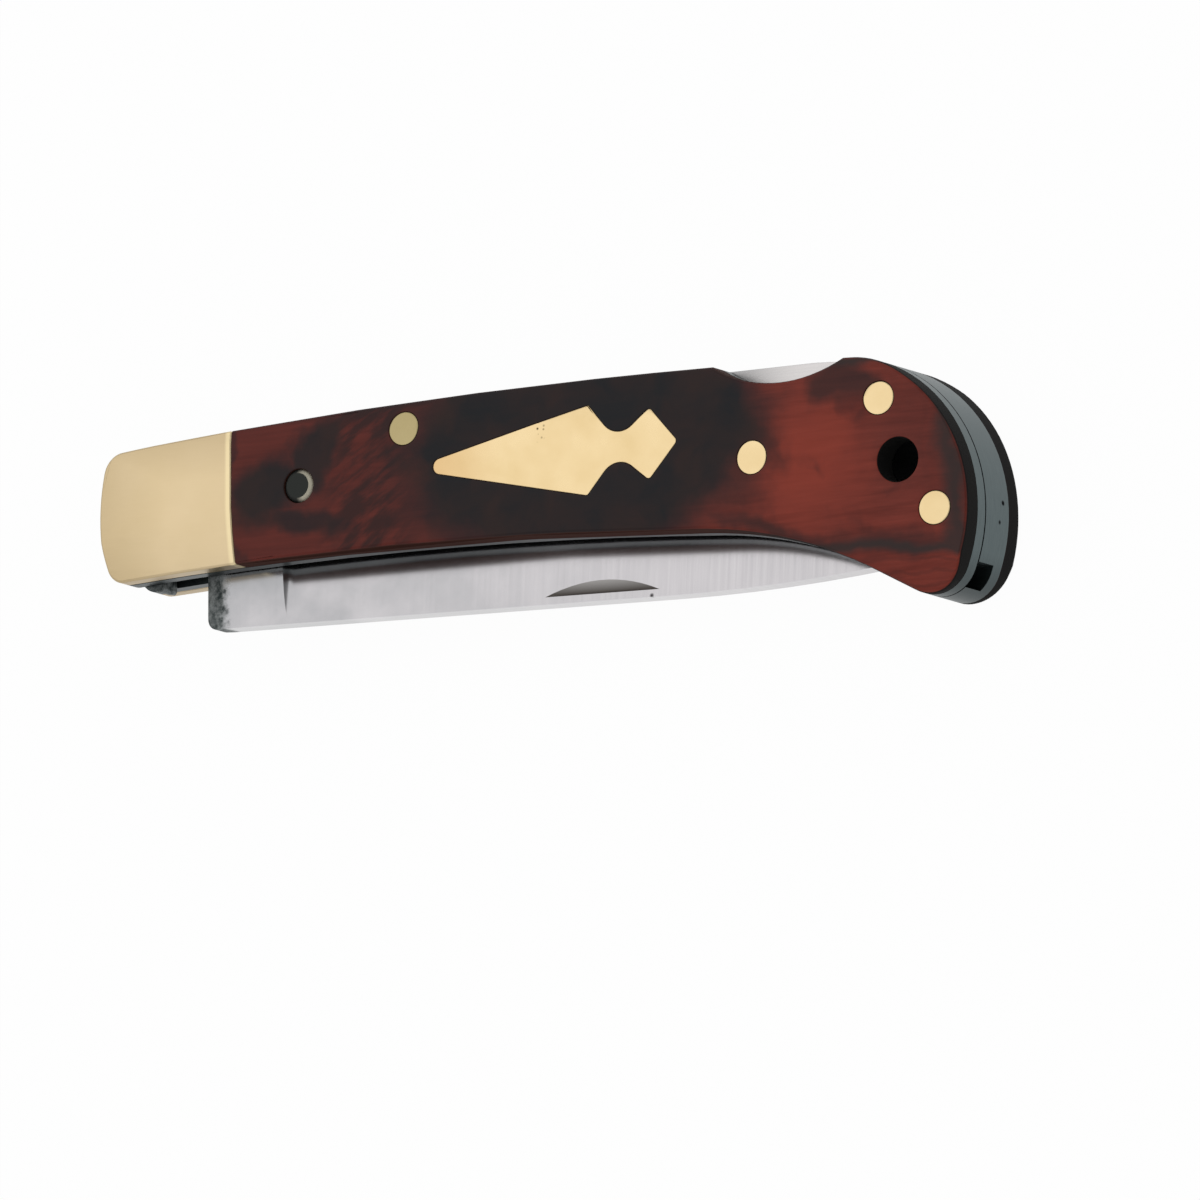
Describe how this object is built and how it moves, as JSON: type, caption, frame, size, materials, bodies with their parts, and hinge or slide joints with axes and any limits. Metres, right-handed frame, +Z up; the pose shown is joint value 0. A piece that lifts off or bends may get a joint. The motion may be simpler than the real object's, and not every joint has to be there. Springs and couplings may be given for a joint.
{
  "type": "folding pocket knife",
  "caption": "Lock-back folding pocket knife with crowned wooden scales, brass bolsters, an arrow inlay, a flat-ground blade and a lanyard hole.",
  "frame": {"origin": "centre of the bottom of the closed knife's bounding box, which lies on its back scale", "axes": "+X along the handle towards the butt, +Y from the blade slot to the spine, +Z up through the thickness, towards the front scale"},
  "size_m": [0.1, 0.0247, 0.0121],
  "materials": {
    "blade_steel": "satin ground across the blade",
    "liner_steel": "satin",
    "spring_steel": "satin polished",
    "pin_steel": "polished, darkened",
    "bolster_brass": "satin polished",
    "pin_brass": "ground flush and polished",
    "washer_bronze": "rolled sheet",
    "scale_wood": "dark red and black laminated wood, polished"
  },
  "bodies": {
    "handle": {"front_liner": "liner_steel", "back_liner": "liner_steel", "front_bolster": "bolster_brass", "back_bolster": "bolster_brass", "front_bolster_rivet": "pin_brass", "back_bolster_rivet": "pin_brass", "front_scale": "scale_wood", "back_scale": "scale_wood", "arrow_inlay": "pin_brass", "rocker_pin": "pin_brass", "lock_spring": "spring_steel", "spring_pin": "pin_brass", "blade_stop_pin": "pin_steel", "butt_spacer": "liner_steel", "upper_butt_pin": "pin_brass", "lower_butt_pin": "pin_brass", "pivot_pin": "pin_steel", "front_pivot_washer": "washer_bronze", "back_pivot_washer": "washer_bronze"},
    "blade": {"blade": "blade_steel"},
    "lock_bar": {"lock_bar": "spring_steel"}
  },
  "joints": [
    {"name": "blade_fold", "type": "hinge", "parent": "handle", "child": "blade", "pos_m": [-0.04475, 0.00185, 0.006], "axis": [0, 0, -1], "range_deg": [0, 180]},
    {"name": "lock_rock", "type": "hinge", "parent": "handle", "child": "lock_bar", "pos_m": [-0.0142, 0.00945, 0.006], "axis": [0, 0, -1], "range_deg": [-1.1, 1.6], "stiffness_Nm_per_rad": 0.6, "deforming": ["lock_spring"]}
  ]
}
